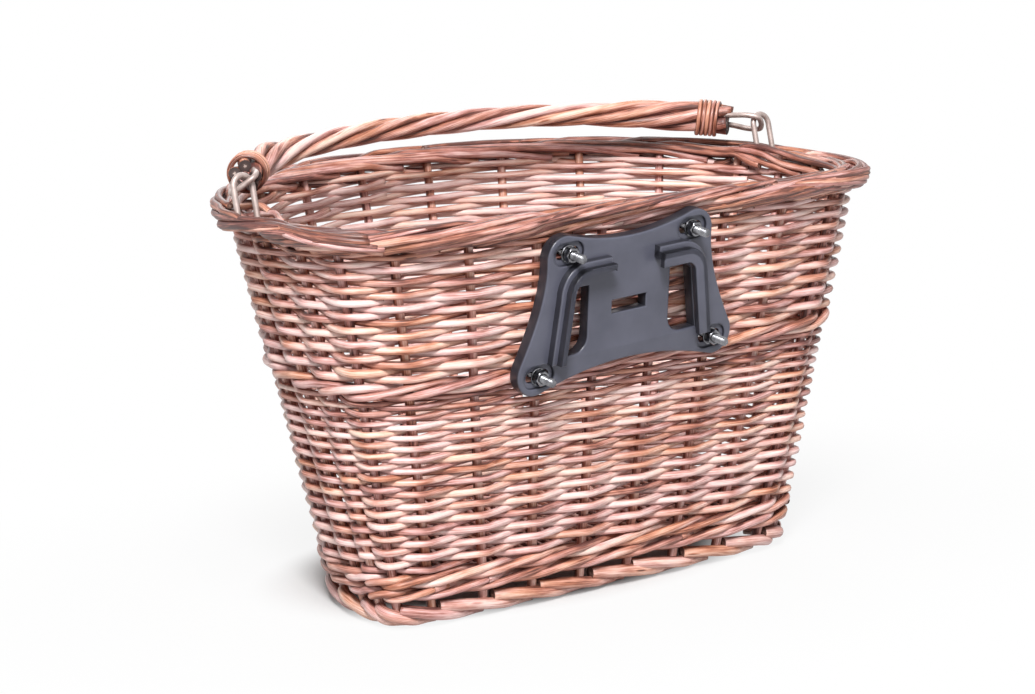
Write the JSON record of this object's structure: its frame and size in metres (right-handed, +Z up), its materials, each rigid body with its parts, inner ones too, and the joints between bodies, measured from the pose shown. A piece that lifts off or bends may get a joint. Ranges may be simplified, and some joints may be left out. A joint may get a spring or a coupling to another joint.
{
  "type": "wicker bicycle basket",
  "caption": "D-shaped woven willow bicycle basket with a bail handle that swings on wire links and a bolted quick-release plate on its flat back.",
  "frame": {"origin": "on the floor, at the middle of the whole basket's box", "axes": "+Z up, +X to the right across the width as seen from the flat back, +Y from the flat back with the plate to the curved front"},
  "size_m": [0.4114, 0.2648, 0.2567],
  "materials": {
    "willow_stake": "steamed brown willow, satin",
    "willow_weave": "woven thin willow rods, satin",
    "willow_wale": "thicker twisted willow rods, satin",
    "willow_border": "rolled border of thick willow rods, satin",
    "willow_foot": "rolled foot border of thick willow rods, satin",
    "willow_handle": "bundle of twisted willow rods, satin",
    "cane": "round cane, satin",
    "wire": "dull galvanised wire",
    "black_plastic": "moulded slate-black plastic, satin",
    "bright_steel": "bright zinc-plated steel"
  },
  "bodies": {
    "basket": {"stake_01": "willow_stake", "stake_02": "willow_stake", "stake_03": "willow_stake", "stake_04": "willow_stake", "stake_05": "willow_stake", "stake_06": "willow_stake", "stake_07": "willow_stake", "stake_08": "willow_stake", "stake_09": "willow_stake", "stake_10": "willow_stake", "stake_11": "willow_stake", "stake_12": "willow_stake", "stake_13": "willow_stake", "stake_14": "willow_stake", "stake_15": "willow_stake", "stake_16": "willow_stake", "stake_17": "willow_stake", "stake_18": "willow_stake", "stake_19": "willow_stake", "stake_20": "willow_stake", "stake_21": "willow_stake", "stake_22": "willow_stake", "stake_23": "willow_stake", "stake_24": "willow_stake", "mount_plate": "black_plastic", "bolt_top_left": "bright_steel", "backing_washer_top_left": "bright_steel", "washer_top_left": "bright_steel", "nut_top_left": "bright_steel", "bolt_top_right": "bright_steel", "backing_washer_top_right": "bright_steel", "washer_top_right": "bright_steel", "nut_top_right": "bright_steel", "bolt_bottom_left": "bright_steel", "backing_washer_bottom_left": "bright_steel", "washer_bottom_left": "bright_steel", "nut_bottom_left": "bright_steel", "bolt_bottom_right": "bright_steel", "backing_washer_bottom_right": "bright_steel", "washer_bottom_right": "bright_steel", "nut_bottom_right": "bright_steel", "foot_border": "willow_foot", "bottom_wale": "willow_wale", "lower_weave": "willow_weave", "mid_wale": "willow_wale", "upper_weave": "willow_weave", "rim_border": "willow_border", "base_stick_1": "willow_stake", "base_stick_2": "willow_stake", "base_stick_3": "willow_stake", "base_stick_4": "willow_stake", "base_weave": "willow_weave"},
    "left_link": {"rim_link_left": "wire"},
    "right_link": {"rim_link_right": "wire"},
    "handle": {"handle_rods": "willow_handle", "handle_eye_left": "wire", "handle_eye_right": "wire", "handle_binding_left": "cane", "handle_binding_right": "cane"}
  },
  "joints": [
    {"name": "left_link_rock", "type": "hinge", "parent": "basket", "child": "left_link", "pos_m": [-0.19147, -0.00814, 0.224], "axis": [1, 0, 0], "range_deg": [0, 30]},
    {"name": "handle_swing", "type": "hinge", "parent": "left_link", "child": "handle", "pos_m": [-0.19147, -0.00333, 0.24197], "axis": [1, 0, 0], "range_deg": [0, 60]},
    {"name": "right_link_rock", "type": "hinge", "parent": "basket", "child": "right_link", "pos_m": [0.19147, -0.00814, 0.224], "axis": [1, 0, 0], "range_deg": [0, 30]}
  ],
  "couplings": [
    {"joint": "right_link_rock", "follows": "left_link_rock", "ratio": 1}
  ]
}
